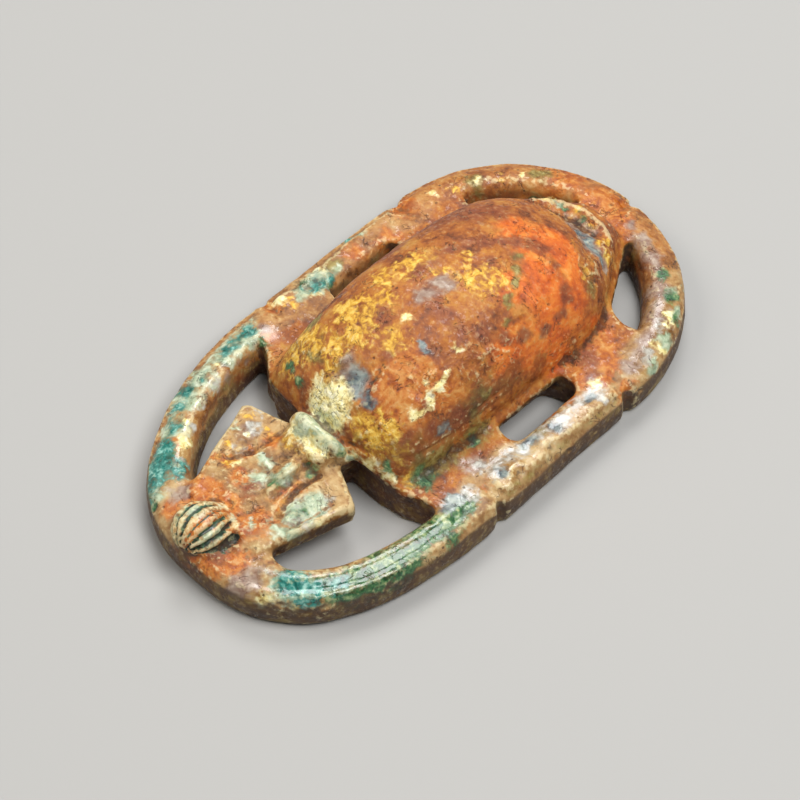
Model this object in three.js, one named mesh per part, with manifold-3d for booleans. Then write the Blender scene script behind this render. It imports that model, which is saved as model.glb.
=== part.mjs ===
// A scarab amulet, carved from one stone: a beetle whose six legs are laid out as an oval
// frame all round it, with a ribbed ball held between the front legs.
// Millimetres, +Z up. The flat underside is on z = 0, and the head points towards -Y.
import * as THREE from 'three';
import { mergeVertices } from 'three/addons/utils/BufferGeometryUtils.js';
import Module from 'manifold-3d';

const wasm = await Module();
wasm.setup();

// The whole amulet
const LENGTH = 62.4;
const UNDERSIDE_TRIM = 0.5; // how much of the rounded belly is ground away to make the flat underside

// The frame of legs
const LEG_WIDTH = 3.8;
const LEG_HEIGHT = 5.0;
const LEG_OUTER_FALL = 0.14; // share of the height by which a leg's top falls towards its outer edge
const LEG_INNER_LEAN = 1.1; // how much wider a leg is at its foot, on the inner side
const LEG_SQUARENESS = 3.2; // exponent of a leg's rounded section
const REAR_RADIUS = 17;
const FRONT_SHOULDER_Y = -4.5; // where the straight sides end and the front bow begins
const FRONT_FULLNESS = { left: 2.12, right: 2.75 }; // exponents of the front bows, which aren't alike
const SIDE_SPREAD = { left: [17.1, 17.2], right: [17.6, 16.7] }; // half widths at the front and rear
const LEG_FLARE = 1.9; // extra width where the front legs meet
const LEG_FLARE_REACH = 8;
const NOTCH_WIDTH = 1.4;
const NOTCH_DEPTH = 0.9;
const NOTCH_REACH = 5.4; // from the outer edge inwards
const NOTCH_TILT = 0.16; // radians, so that the cut runs out before the inner edge
const FRONT_NOTCH_Y = -5;
const REAR_NOTCH_Y = 13.2;

// The body
const BODY_WIDTH = 20.4;
const BODY_FRONT_Y = -12.7;
const BODY_REAR_Y = 25.9;
const PLINTH_HEIGHT = 4.8;
const PLINTH_LEDGE = 0.6; // how far the plinth stands out from the wing cases
const PLINTH_UNDERCUT = 0.2; // share of the half width lost at the underside
const BACK_HEIGHT = 15.6;
const BACK_SQUARENESS = 2.5;
const FRONT_BOW = 1.7; // how far the front corners stand back from the middle
const HOLLOW_RADIUS = 3.3; // of the channel worked round the tail, behind the wing cases
const HOLLOW_SWEEP = 7.6; // radius of the line it follows
const HOLLOW_Y = 23.7;
const HOLLOW_Z = 10.6;
const HOLLOW_SLOPE = 0.5;

// The web between body and legs, and the corners of its openings on the right and on the left
const WEB_HEIGHT = 4.5;
const RIGHT_OPENINGS = [
  [[3, -11.6], [9.4, -11.3], [12.6, -9.9], [16, -11.5], [16, -20], [10, -25.2], [5.6, -25.3], [3, -22]],
  [[8.6, 2.2], [10.2, 0.9], [12.2, 0.5], [13.4, 1.6], [13.6, 8.2], [12.2, 10.2], [10.2, 9.8], [8.6, 8.6]],
  [[8.4, 19.2], [10.6, 18.8], [12.4, 19.3], [12.6, 21], [8, 27.4], [4.4, 27.8], [3.3, 26], [5.2, 22]],
];
const LEFT_OPENINGS = [
  [[-3, -11.6], [-9.6, -10.6], [-12.4, -8.4], [-16, -10], [-16, -20], [-10, -25.2], [-5.2, -25], [-3, -22]],
  [[-8.6, 2], [-10.2, 0.6], [-12.4, 0.4], [-13.8, 1.6], [-13.8, 8.4], [-12.2, 10], [-10.2, 9.8], [-8.6, 8.6]],
  [[-8.4, 18.7], [-10.8, 18.2], [-13, 18.8], [-13, 21], [-8, 27.4], [-4.2, 27.4], [-3.3, 25.6], [-5.2, 22]],
];
const OPENING_TAPER = 0.94; // size at the underside against size at the top

// The head
const HEAD_HALF_WIDTH = 8.2;
const HEAD_FRONT_HALF_WIDTH = { left: 4.6, right: 5.6 };
const HEAD_TOP = 5.2;
const HEAD_THICKNESS = 2.5;
const CHEEK_SETBACK = { left: 1.9, right: 2.7 }; // from the body's front to the cheeks' back corners
const CHEEK_BEVEL = 0.45;
const BROW_GROOVE = 0.42;
const BROW_LINES = [
  [[-3.1, -14.4], [-3.2, -17], [-3.9, -19.6], [-4.5, -22.8]],
  [[2.6, -15.2], [2.7, -17.6], [3.3, -20], [4.2, -23.4]],
];
const BROW_RIDGE_LENGTH = 3.4;
const KEEL_WIDTH = 6.4; // of the bar that carries the head, underneath
const NECK_WIDTH = 7;
const NECK_TOP = 6.9;
const COLLAR_WIDTH = 7.4;
const COLLAR_TOP = 8.3;

// The ball
const BALL_DIAMETER = 5.8;
const BALL_TOP = 7.4;
const BALL_Y = -28.1;
const BALL_RIBS = 10;
const BALL_GROOVE = 0.24;

const halfLength = LENGTH / 2;
const rearArcY = halfLength - REAR_RADIUS;

// Solids
function solidFrom(geometry) {
  const bare = geometry.clone();
  for (const name of Object.keys(bare.attributes)) {
    if (name !== 'position') bare.deleteAttribute(name);
  }
  const merged = mergeVertices(bare, 1e-4);
  const mesh = new wasm.Mesh({
    numProp: 3,
    vertProperties: merged.attributes.position.array,
    triVerts: new Uint32Array(merged.index.array),
  });
  return new wasm.Manifold(mesh);
}

function geometryFrom(solid) {
  const mesh = solid.getMesh();
  const geometry = new THREE.BufferGeometry();
  geometry.setAttribute('position', new THREE.BufferAttribute(mesh.vertProperties, 3));
  geometry.setIndex(new THREE.BufferAttribute(mesh.triVerts, 1));
  geometry.computeVertexNormals();
  return geometry;
}

// Skins a row of closed sections, each a list of Vector3. An open row gets a fan on each end.
function loft(sections, closed) {
  const around = sections[0].length;
  const points = sections.flat();
  const index = [];
  const spans = closed ? sections.length : sections.length - 1;
  for (let i = 0; i < spans; i++) {
    const here = i * around;
    const next = ((i + 1) % sections.length) * around;
    for (let j = 0; j < around; j++) {
      const k = (j + 1) % around;
      index.push(here + j, next + k, here + k, here + j, next + j, next + k);
    }
  }
  if (!closed) {
    for (const [row, flip] of [[0, true], [sections.length - 1, false]]) {
      const middle = new THREE.Vector3();
      for (const p of sections[row]) middle.addScaledVector(p, 1 / around);
      const hub = points.push(middle) - 1;
      for (let j = 0; j < around; j++) {
        const a = row * around + j;
        const b = row * around + ((j + 1) % around);
        index.push(...(flip ? [hub, a, b] : [hub, b, a]));
      }
    }
  }
  const geometry = new THREE.BufferGeometry().setFromPoints(points);
  geometry.setIndex(index);
  return geometry;
}

const signedPower = (value, power) => Math.sign(value) * Math.abs(value) ** power;

// Half the width of the frame at a place along it, on the left or the right
function sideSpread(side, y) {
  const [front, rear] = side < 0 ? SIDE_SPREAD.left : SIDE_SPREAD.right;
  return THREE.MathUtils.lerp(front, rear, THREE.MathUtils.smoothstep(y, FRONT_SHOULDER_Y - 8, rearArcY));
}

// The outline of the frame, seen from above, as a closed curve
function frameOutline() {
  const points = [];
  const steps = 24;
  for (let i = 0; i < steps * 2; i++) {
    const a = (i / (steps * 2)) * Math.PI;
    points.push([Math.cos(a), rearArcY + REAR_RADIUS * Math.sin(a)]);
  }
  const straight = 4;
  for (let i = 0; i < straight; i++) {
    points.push([-1, THREE.MathUtils.lerp(rearArcY, FRONT_SHOULDER_Y, i / straight)]);
  }
  const reach = FRONT_SHOULDER_Y + halfLength;
  for (let i = 0; i < steps * 2; i++) {
    const a = Math.PI + (i / (steps * 2)) * Math.PI;
    const fullness = Math.cos(a) < 0 ? FRONT_FULLNESS.left : FRONT_FULLNESS.right;
    points.push([
      signedPower(Math.cos(a), 2 / fullness),
      FRONT_SHOULDER_Y + reach * signedPower(Math.sin(a), 2 / fullness),
    ]);
  }
  for (let i = 0; i < straight; i++) {
    points.push([1, THREE.MathUtils.lerp(FRONT_SHOULDER_Y, rearArcY, i / straight)]);
  }
  return new THREE.CatmullRomCurve3(points.map(([u, y]) => new THREE.Vector3(u * sideSpread(u, y), y, 0)), true);
}

// How wide a leg is at a point of the outline: wider where the front legs meet
function legWidthAt(point) {
  const atFront = THREE.MathUtils.smoothstep(FRONT_SHOULDER_Y - point.y, 8, 22);
  return LEG_WIDTH + LEG_FLARE * atFront * Math.exp(-((point.x / LEG_FLARE_REACH) ** 2));
}

function frameSolid(outline) {
  const along = 112;
  const around = 12;
  const rise = LEG_HEIGHT + UNDERSIDE_TRIM;
  const sections = [];
  for (let i = 0; i < along; i++) {
    const point = outline.getPointAt(i / along);
    const tangent = outline.getTangentAt(i / along);
    const inward = new THREE.Vector3(-tangent.y, tangent.x, 0);
    const width = legWidthAt(point);
    const section = [];
    for (let j = 0; j < around; j++) {
      const a = (j / around) * 2 * Math.PI;
      const inner = 0.5 - 0.5 * signedPower(Math.cos(a), 2 / LEG_SQUARENESS);
      const level = 0.5 + 0.5 * signedPower(Math.sin(a), 2 / LEG_SQUARENESS);
      const z = level * rise * (1 - LEG_OUTER_FALL * (1 - inner)) - UNDERSIDE_TRIM;
      const lean = LEG_INNER_LEAN * inner * (1 - level);
      section.push(point.clone().addScaledVector(inward, inner * width + lean).setZ(z));
    }
    sections.push(section);
  }
  return solidFrom(loft(sections, true));
}

// The body's half width and height along its length
const bodyLength = BODY_REAR_Y - BODY_FRONT_Y;
const shareOfBody = (share) => BODY_FRONT_Y + share * bodyLength;

const halfWidthCurve = new THREE.SplineCurve([
  [0, 0.9], [0.04, 0.97], [0.16, 1.01], [0.45, 1.02], [0.7, 0.98], [0.82, 0.81], [0.92, 0.56], [1, 0.35],
].map(([share, width]) => new THREE.Vector2(share, width)));

const backCurve = new THREE.SplineCurve([
  [0, 0.06], [0.03, 0.36], [0.12, 0.7], [0.28, 0.95], [0.44, 1], [0.62, 0.92], [0.78, 0.7], [0.9, 0.4], [1, 0.16],
].map(([share, height]) => new THREE.Vector2(share, height)));

function bodySections(halfWidthAt, sectionAt, stations) {
  const sections = [];
  for (let i = 0; i <= stations; i++) {
    const t = i / stations;
    const { x: share, y: width } = halfWidthCurve.getPoint(t);
    const half = halfWidthAt(width);
    const bow = FRONT_BOW * (1 - THREE.MathUtils.smoothstep(share, 0, 0.5));
    sections.push(sectionAt(share, half).map(([x, z]) => {
      const y = shareOfBody(share) + bow * (x / (BODY_WIDTH / 2)) ** 2;
      return new THREE.Vector3(x, y, z);
    }));
  }
  return sections;
}

function heightAt(share) {
  let low = 0;
  let high = 1;
  for (let i = 0; i < 24; i++) {
    const middle = (low + high) / 2;
    if (backCurve.getPoint(middle).x < share) low = middle;
    else high = middle;
  }
  return backCurve.getPoint(low).y;
}

// The slab that the wing cases stand on, narrower at the underside
function plinthSolid() {
  const corner = 0.5;
  const section = (share, half) => {
    const foot = half * (1 - PLINTH_UNDERCUT);
    return [
      [half - corner, PLINTH_HEIGHT], [-half + corner, PLINTH_HEIGHT], [-half, PLINTH_HEIGHT - corner],
      [-half, PLINTH_HEIGHT - 2 * corner], [-foot, -UNDERSIDE_TRIM], [foot, -UNDERSIDE_TRIM],
      [half, PLINTH_HEIGHT - 2 * corner], [half, PLINTH_HEIGHT - corner],
    ];
  };
  return solidFrom(loft(bodySections((w) => w * BODY_WIDTH / 2, section, 26), false));
}

// The domed back
function backSolid() {
  const around = 18;
  const foot = PLINTH_HEIGHT - 1;
  const section = (share, half) => {
    const rise = (BACK_HEIGHT - PLINTH_HEIGHT) * heightAt(share) + 1;
    const points = [];
    for (let j = 0; j <= around; j++) {
      const a = (j / around) * Math.PI;
      points.push([
        half * signedPower(Math.cos(a), 2 / BACK_SQUARENESS),
        foot + rise * Math.sin(a) ** (2 / BACK_SQUARENESS),
      ]);
    }
    return points;
  };
  const narrowed = (w) => Math.max(w * BODY_WIDTH / 2 - PLINTH_LEDGE, 1);
  const dome = solidFrom(loft(bodySections(narrowed, section, 30), false));
  return dome.subtract(tailHollow());
}

// A curved channel that scoops the tail out behind the wing cases
function tailHollow() {
  const line = [];
  for (let i = 0; i <= 12; i++) {
    const a = THREE.MathUtils.lerp(0.12, 0.88, i / 12) * Math.PI;
    const along = HOLLOW_SWEEP * (Math.sin(a) - 1);
    line.push(new THREE.Vector3(
      HOLLOW_SWEEP * Math.cos(a),
      HOLLOW_Y + along * Math.cos(HOLLOW_SLOPE),
      HOLLOW_Z - along * Math.sin(HOLLOW_SLOPE),
    ));
  }
  return closedTube(new THREE.CatmullRomCurve3(line), 14, HOLLOW_RADIUS, 20);
}

function extruded(shape, bottom, top, bevel, segments = 1) {
  const geometry = new THREE.ExtrudeGeometry(shape, {
    depth: top - bottom - bevel * 2,
    bevelEnabled: bevel > 0,
    bevelThickness: bevel,
    bevelSize: bevel,
    bevelOffset: -bevel,
    bevelSegments: segments,
    curveSegments: 8,
    steps: 1,
  });
  geometry.translate(0, 0, bottom + bevel);
  return geometry;
}

// A closed smooth shape round the given corners, shrunk about their middle
function smoothShape(corners, scale) {
  const placed = corners.map(([x, y]) => new THREE.Vector3(x, y, 0));
  const middle = new THREE.Vector3();
  for (const p of placed) middle.addScaledVector(p, 1 / placed.length);
  for (const p of placed) p.lerp(middle, 1 - scale);
  const curve = new THREE.CatmullRomCurve3(placed, true, 'catmullrom', 0.35);
  const points = curve.getSpacedPoints(28).slice(0, -1);
  return THREE.ShapeUtils.isClockWise(points) ? points : points.reverse();
}

function openingSolid(corners) {
  const sections = [[-LEG_HEIGHT, OPENING_TAPER], [LEG_HEIGHT * 2, 1]].map(([z, scale]) =>
    smoothShape(corners, scale).map((p) => p.clone().setZ(z)));
  return solidFrom(loft(sections, false));
}

// The flat web, pierced by the openings
function webSolid(outline) {
  const inset = LEG_WIDTH * 0.7;
  const shape = new THREE.Shape(outline.getSpacedPoints(72).slice(0, -1).map((point, i) => {
    const tangent = outline.getTangentAt(i / 72);
    return new THREE.Vector2(point.x - tangent.y * inset, point.y + tangent.x * inset);
  }));
  const plate = extruded(shape, -UNDERSIDE_TRIM, WEB_HEIGHT, 0);
  let web = solidFrom(plate);
  for (const corners of [...RIGHT_OPENINGS, ...LEFT_OPENINGS]) web = web.subtract(openingSolid(corners));
  return web;
}

// The flat spade-shaped head: two cheeks beside a middle panel, with neck and collar behind
function headSolid() {
  const backY = BODY_FRONT_Y - (CHEEK_SETBACK.left + CHEEK_SETBACK.right) / 2;
  const frontY = -halfLength + LEG_WIDTH + LEG_FLARE / 2;
  const shape = new THREE.Shape();
  const corner = (side, setback) => {
    const y = BODY_FRONT_Y - setback;
    const x = side * HEAD_HALF_WIDTH;
    const row = [[x - side * 0.3, y - 1.9], [x + side * 0.1, y - 1], [x - side * 0.2, y - 0.3], [x - side * 0.9, y]];
    return side > 0 ? row : row.reverse();
  };
  const points = [
    [HEAD_FRONT_HALF_WIDTH.right, frontY],
    ...corner(1, CHEEK_SETBACK.right),
    [NECK_WIDTH / 2, backY + 1.4],
    [-NECK_WIDTH / 2, backY + 1.4],
    ...corner(-1, CHEEK_SETBACK.left),
    [-HEAD_FRONT_HALF_WIDTH.left, frontY],
  ];
  points.forEach(([x, y], i) => (i ? shape.lineTo(x, y) : shape.moveTo(x, y)));
  shape.closePath();
  const plate = extruded(shape, HEAD_TOP - HEAD_THICKNESS, HEAD_TOP, CHEEK_BEVEL, 2);
  const keelLength = BODY_FRONT_Y + 2 - frontY;
  const keel = new THREE.BoxGeometry(KEEL_WIDTH, keelLength, HEAD_TOP);
  keel.translate(0, frontY + keelLength / 2, HEAD_TOP / 2 - UNDERSIDE_TRIM);
  let head = solidFrom(plate).add(solidFrom(keel));
  for (const line of BROW_LINES) {
    const path = new THREE.CatmullRomCurve3(line.map(([x, y]) => new THREE.Vector3(x, y, HEAD_TOP + 0.1)));
    head = head.subtract(closedTube(path, 10, BROW_GROOVE, 6));
  }
  const ridge = rounded(0.7, BROW_RIDGE_LENGTH / 2, 0.6, 12, 8);
  ridge.translate(0.6, backY - 2.6, HEAD_TOP);
  const neck = rounded(NECK_WIDTH / 2, 2, NECK_TOP - 3, 20, 12);
  neck.translate(0.2, backY + 0.6, 3);
  const collar = rounded(COLLAR_WIDTH / 2, 0.9, COLLAR_TOP - 5, 16, 10);
  collar.rotateX(0.35).translate(0.3, BODY_FRONT_Y - 0.1, 5);
  return head.add(solidFrom(ridge)).add(solidFrom(neck)).add(solidFrom(collar));
}

// A squarish pebble with the given half sizes
function rounded(x, y, z, around, rows) {
  const pebble = new THREE.SphereGeometry(1, around, rows);
  const place = pebble.attributes.position;
  for (let i = 0; i < place.count; i++) {
    const p = [place.getX(i) * 0.999999, place.getY(i), place.getZ(i)].map((v) => signedPower(v, 0.72));
    place.setXYZ(i, p[0] * x, p[1] * y, p[2] * z);
  }
  return pebble;
}

// A tube along a path, closed at both ends
function closedTube(path, spans, radius, around) {
  const frames = path.computeFrenetFrames(spans, false);
  const sections = [];
  for (let i = 0; i <= spans; i++) {
    const point = path.getPointAt(i / spans);
    const section = [];
    for (let j = 0; j < around; j++) {
      const a = (-j / around) * 2 * Math.PI;
      section.push(point.clone()
        .addScaledVector(frames.normals[i], radius * Math.cos(a))
        .addScaledVector(frames.binormals[i], radius * Math.sin(a)));
    }
    sections.push(section);
  }
  return solidFrom(loft(sections, false));
}

// A small ball, ribbed lengthways like a melon
function ballSolid() {
  const radius = BALL_DIAMETER / 2;
  const ball = new THREE.SphereGeometry(radius, BALL_RIBS * 4, 14);
  const place = ball.attributes.position;
  for (let i = 0; i < place.count; i++) {
    const p = new THREE.Vector3().fromBufferAttribute(place, i);
    const reach = Math.hypot(p.x, p.z) / radius;
    const groove = 0.5 - 0.5 * Math.cos(BALL_RIBS * Math.atan2(p.z, p.x));
    p.multiplyScalar(1 - (BALL_GROOVE / radius) * groove * reach);
    place.setXYZ(i, p.x, p.y, p.z);
  }
  ball.rotateX(0.25).translate(-0.3, BALL_Y, BALL_TOP - radius);
  return solidFrom(ball);
}

// V-shaped cuts across the frame, between one leg and the next
function notches() {
  const made = [];
  const places = [];
  for (const y of [FRONT_NOTCH_Y, REAR_NOTCH_Y]) {
    places.push([sideSpread(1, y), y, 0], [-sideSpread(-1, y), y, Math.PI]);
  }
  places.push([0, halfLength, Math.PI / 2]);
  for (const [x, y, turn] of places) {
    const across = new THREE.CylinderGeometry(NOTCH_WIDTH / 2, NOTCH_WIDTH / 2, NOTCH_REACH * 2, 8);
    across.rotateZ(Math.PI / 2).rotateY(NOTCH_TILT).rotateZ(turn);
    across.translate(x, y, LEG_HEIGHT - NOTCH_WIDTH / 3);
    made.push(solidFrom(across));
    const down = new THREE.CylinderGeometry(1, 1, LEG_HEIGHT * 3, 8);
    down.rotateX(Math.PI / 2).scale(NOTCH_DEPTH, NOTCH_WIDTH / 2, 1).rotateZ(turn);
    down.translate(x, y, 0);
    made.push(solidFrom(down));
  }
  return made;
}

// Everything below the flat underside
function underGround() {
  const block = new THREE.BoxGeometry(2 * LENGTH, 2 * LENGTH, LEG_HEIGHT);
  block.translate(0, 0, -LEG_HEIGHT / 2);
  return solidFrom(block);
}

const outline = frameOutline();
let amulet = frameSolid(outline);
amulet = amulet.add(plinthSolid()).add(backSolid());
amulet = amulet.add(webSolid(outline)).add(headSolid());
for (const cut of notches()) amulet = amulet.subtract(cut);
amulet = amulet.add(ballSolid()).subtract(underGround());

// Centres the amulet over the origin
const box = amulet.boundingBox();
amulet = amulet.translate([-(box.min[0] + box.max[0]) / 2, -(box.min[1] + box.max[1]) / 2, 0]);

const material = new THREE.MeshStandardMaterial({ color: 0xb0652c, roughness: 0.35, metalness: 0 });
const scarab = new THREE.Mesh(geometryFrom(amulet), material);
scarab.name = 'scarab_amulet';

const group = new THREE.Group();
group.add(scarab);
export default group;
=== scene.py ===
# %% [markdown]
# # A carved scarab amulet in glazed stone
#
# The amulet is one piece of stone, about 62 mm long: a beetle with a domed back, a spade-shaped
# head and a ribbed ball, held in a ring made of its legs. Its glaze has gone patchy with age,
# from rusty orange to green and cream, and it still shines where it is smooth.
#
# Blender adds what the solid model leaves out: soft worn edges, small carved lines, pits and
# crust, and the layers of colour. The solid gives the size and every main form, so the first
# step loads it.

import math

import bpy
import numpy as np
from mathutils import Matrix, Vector, kdtree, noise


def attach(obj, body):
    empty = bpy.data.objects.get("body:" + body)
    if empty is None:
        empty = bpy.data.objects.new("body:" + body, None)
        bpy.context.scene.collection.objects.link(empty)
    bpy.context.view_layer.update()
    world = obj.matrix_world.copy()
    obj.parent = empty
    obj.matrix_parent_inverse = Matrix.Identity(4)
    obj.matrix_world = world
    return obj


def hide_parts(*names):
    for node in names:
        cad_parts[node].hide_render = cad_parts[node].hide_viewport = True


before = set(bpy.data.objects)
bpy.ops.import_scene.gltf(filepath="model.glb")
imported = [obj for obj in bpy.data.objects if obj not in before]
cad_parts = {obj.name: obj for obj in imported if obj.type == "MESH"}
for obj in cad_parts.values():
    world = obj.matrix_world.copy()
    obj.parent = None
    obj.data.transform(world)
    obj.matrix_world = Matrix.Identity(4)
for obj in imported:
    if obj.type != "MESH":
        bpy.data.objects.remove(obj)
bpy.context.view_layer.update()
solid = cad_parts["scarab_amulet"]
MM = 0.001
scene = bpy.context.scene

# %% [markdown]
# ## The camera
#
# The photograph looks down on the amulet from its front right, with a long lens. A camera could
# be turned by three angles, but it is simpler to say where it aims, from which side, how high
# and how far away, and let the aiming vector give the turn.

# %% Place the camera
CAMERA_AIM = Vector((1.35, -3.5, 4.0)) * MM
CAMERA_SIDE = math.radians(46)
CAMERA_HEIGHT = math.radians(54)
CAMERA_DISTANCE = 0.45
CAMERA_LENS = 206.6


def direction(side, height):
    """The unit vector towards a side angle, counted from the front, and a height angle."""
    flat = math.cos(height)
    return Vector((math.sin(side) * flat, -math.cos(side) * flat, math.sin(height)))


camera = bpy.data.objects.new("camera", bpy.data.cameras.new("camera"))
scene.collection.objects.link(camera)
towards_camera = direction(CAMERA_SIDE, CAMERA_HEIGHT)
camera.location = CAMERA_AIM + towards_camera * CAMERA_DISTANCE
camera.rotation_euler = towards_camera.to_track_quat("Z", "Y").to_euler()
camera.data.lens = CAMERA_LENS
camera.data.clip_start = 0.01
scene.camera = camera
print("camera at", [round(value, 3) for value in camera.location])

# %% [markdown]
# ## The floor and the lights
#
# A pale floor and large soft lamps stand in for a photographer's table. The legs in the
# photograph carry a white shine on their level tops, which only a lamp on the far side can give,
# since a level surface throws that lamp's light to this camera. A larger lamp on the right lights
# the dome and the tail, and a warm one in front opens up the shadows on the near side.

# %% Lay the floor
FLOOR_HALF = 1.5

floor_mesh = bpy.data.meshes.new("floor")
floor_corners = [(-FLOOR_HALF, -FLOOR_HALF, 0), (FLOOR_HALF, -FLOOR_HALF, 0),
                 (FLOOR_HALF, FLOOR_HALF, 0), (-FLOOR_HALF, FLOOR_HALF, 0)]
floor_mesh.from_pydata(floor_corners, [], [(0, 1, 2, 3)])
floor = bpy.data.objects.new("floor", floor_mesh)
scene.collection.objects.link(floor)

floor_paint = bpy.data.materials.new("pale_floor")
floor_paint.use_nodes = True
floor_finish = floor_paint.node_tree.nodes["Principled BSDF"]
floor_finish.inputs["Base Color"].default_value = (0.42, 0.415, 0.40, 1)
floor_finish.inputs["Roughness"].default_value = 0.8
floor_mesh.materials.append(floor_paint)
print("floor is", FLOOR_HALF * 2, "m wide")

# %% Hang the lamps
LAMP_AIM = Vector((0, 0, 0.006))


def hang_lamp(name, side, height, distance, size, power, tint=(1, 1, 1)):
    """A square soft lamp that faces the amulet. The angles are in degrees."""
    lamp = bpy.data.objects.new(name, bpy.data.lights.new(name, "AREA"))
    scene.collection.objects.link(lamp)
    towards_lamp = direction(math.radians(side), math.radians(height))
    lamp.location = LAMP_AIM + towards_lamp * distance
    lamp.rotation_euler = towards_lamp.to_track_quat("Z", "Y").to_euler()
    lamp.data.shape = "SQUARE"
    lamp.data.size = size
    lamp.data.energy = power
    lamp.data.color = tint
    return lamp


lamps = [
    hang_lamp("far_softbox", 222, 56, 0.6, 0.24, 1.6),
    hang_lamp("right_softbox", 112, 66, 0.6, 0.34, 3.3),
    hang_lamp("front_softbox", -48, 48, 0.7, 0.40, 1.8, (1.0, 0.95, 0.88)),
]
scene.world = bpy.data.worlds.new("room")
scene.world.use_nodes = True
room_light = scene.world.node_tree.nodes["Background"]
room_light.inputs["Color"].default_value = (0.95, 0.97, 1.0, 1)
room_light.inputs["Strength"].default_value = 0.15
scene.view_settings.view_transform = "Standard"
print(len(lamps), "lamps, and a room light of", room_light.inputs["Strength"].default_value)

# %% [markdown]
# ## An even skin for the carving
#
# The solid is made of long flat facets, which are right for measuring and poor for carving. A
# subdivision surface would round each facet by its own size. A voxel remesh instead lays one even
# net of small squares over the whole form, so that a later step can move every point by the same
# rules. The solid itself is left alone: the skin is a copy.

# %% Lay the even skin
SKIN_SPACING = 0.26 * MM

rough_copy = bpy.data.objects.new("rough_copy", solid.data.copy())
scene.collection.objects.link(rough_copy)
remesh = rough_copy.modifiers.new("even_skin", "REMESH")
remesh.mode = "VOXEL"
remesh.voxel_size = SKIN_SPACING
evaluated = rough_copy.evaluated_get(bpy.context.evaluated_depsgraph_get())
skin = bpy.data.meshes.new_from_object(evaluated)
skin.name = "scarab_carving"
bpy.data.objects.remove(rough_copy)
print("skin has", len(skin.vertices), "points and", len(skin.polygons), "faces")

# %% [markdown]
# The points are read into one table in millimetres, because a sum over a whole table is quick
# and easy to read. Two helpers go with it: one averages a value over each point's neighbours,
# and one works out which way the skin faces.

# %% Read the skin into tables
point_count = len(skin.vertices)
points = np.empty(point_count * 3)
skin.vertices.foreach_get("co", points)
points = points.reshape(-1, 3) / MM

edge_ends = np.empty(len(skin.edges) * 2, dtype=np.int32)
skin.edges.foreach_get("vertices", edge_ends)
edge_from, edge_to = edge_ends.reshape(-1, 2).T
neighbour_count = np.bincount(edge_ends, minlength=point_count)[:, None]


def neighbour_mean(table):
    """Each point's value, averaged over the points joined to it."""
    columns = []
    for column in table.T:
        total = np.bincount(edge_from, column[edge_to], point_count)
        total += np.bincount(edge_to, column[edge_from], point_count)
        columns.append(total)
    return np.stack(columns, axis=1) / neighbour_count


def smoothed(table, rounds, share=0.5):
    """The table after a number of rounds of moving towards the neighbours' mean."""
    for _ in range(rounds):
        table = table + (neighbour_mean(table) - table) * share
    return table


def facing(table):
    """The skin's normal at each point, once its points are where the table says."""
    skin.vertices.foreach_set("co", (table * MM).ravel())
    skin.update()
    normals = np.empty(point_count * 3)
    skin.vertex_normals.foreach_get("vector", normals)
    return normals.reshape(-1, 3)


print("each point has", round(float(neighbour_count.mean()), 2), "neighbours")

# %% [markdown]
# ## Worn edges
#
# Long handling has rounded every edge of the amulet. Moving each point a little towards its
# neighbours, a few times over, wears the edges and leaves broad faces alone, as wear does. The
# underside stays flat, because the amulet lies on it.

# %% Wear the edges
WEAR_ROUNDS = 5
UNDERSIDE_HEIGHT = 0.12

underside = points[:, 2] < UNDERSIDE_HEIGHT
points = smoothed(points, WEAR_ROUNDS)
points[underside, 2] = 0
points[:, 2] = np.maximum(points[:, 2], 0)
normals = facing(points)
print("worn skin spans", np.round(points.max(axis=0) - points.min(axis=0), 2), "mm")

# %% [markdown]
# ## Measures that guide the carving
#
# The legs are a ring of even width, so the distance from the outer edge tells where on a leg a
# point lies. The outer edge is found from the skin itself: in each narrow wedge round the
# middle, it is the point furthest out.

# %% Measure the distance from the rim
WEDGES = 720

bearing = np.arctan2(points[:, 1], points[:, 0])
wedge = np.floor((bearing + math.pi) / (2 * math.pi) * WEDGES).astype(int) % WEDGES
reach = np.hypot(points[:, 0], points[:, 1])
wedge_reach = np.zeros(WEDGES)
np.maximum.at(wedge_reach, wedge, reach)
wedge_angle = (np.arange(WEDGES) + 0.5) / WEDGES * 2 * math.pi - math.pi
rim = kdtree.KDTree(WEDGES)
for index, (angle, radius) in enumerate(zip(wedge_angle, wedge_reach)):
    rim.insert((math.cos(angle) * radius, math.sin(angle) * radius, 0), index)
rim.balance()
from_rim = np.array([rim.find((x, y, 0))[2] for x, y, _ in points])
print("the middle lies", round(float(from_rim.max()), 1), "mm from the rim")


# %% [markdown]
# Nothing on an old carving has a hard edge, so every mark fades out through a soft step or a bell
# curve. Spots and rows of strokes say where a mark lies, and cloudy noise makes it uneven. The
# noise has fixed seeds, so the amulet comes out the same each time.

# %% Helpers for soft steps, marks and natural noise
def soft_step(values, low, high):
    """0 below low, 1 above high, and an even curve between. Low may be the larger one."""
    share = np.clip((values - low) / (high - low), 0, 1)
    return share * share * (3 - 2 * share)


def bell(values, middle, width):
    """1 at the middle, falling to about a third at width on either side."""
    return np.exp(-(((values - middle) / width) ** 2))


def ragged(size, octaves=3, seed=0):
    """Cloudy noise between about -1 and 1, with lumps of that size in millimetres."""
    shift = Vector((seed * 17.3, seed * 5.1, seed * 29.7))
    return np.array([noise.fractal(Vector(point) / size + shift, 0.7, 2.1, octaves)
                     for point in points])


def line_distance(line):
    """Each point's distance from a line of straight strokes, in millimetres."""
    nearest = np.full(point_count, 1e9)
    for start, end in zip(line[:-1], line[1:]):
        start = np.array(start)
        stroke = np.array(end) - start
        share = np.clip((points - start) @ stroke / (stroke @ stroke), 0, 1)[:, None]
        nearest = np.minimum(nearest, np.linalg.norm(points - start - share * stroke, axis=1))
    return nearest


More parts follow.
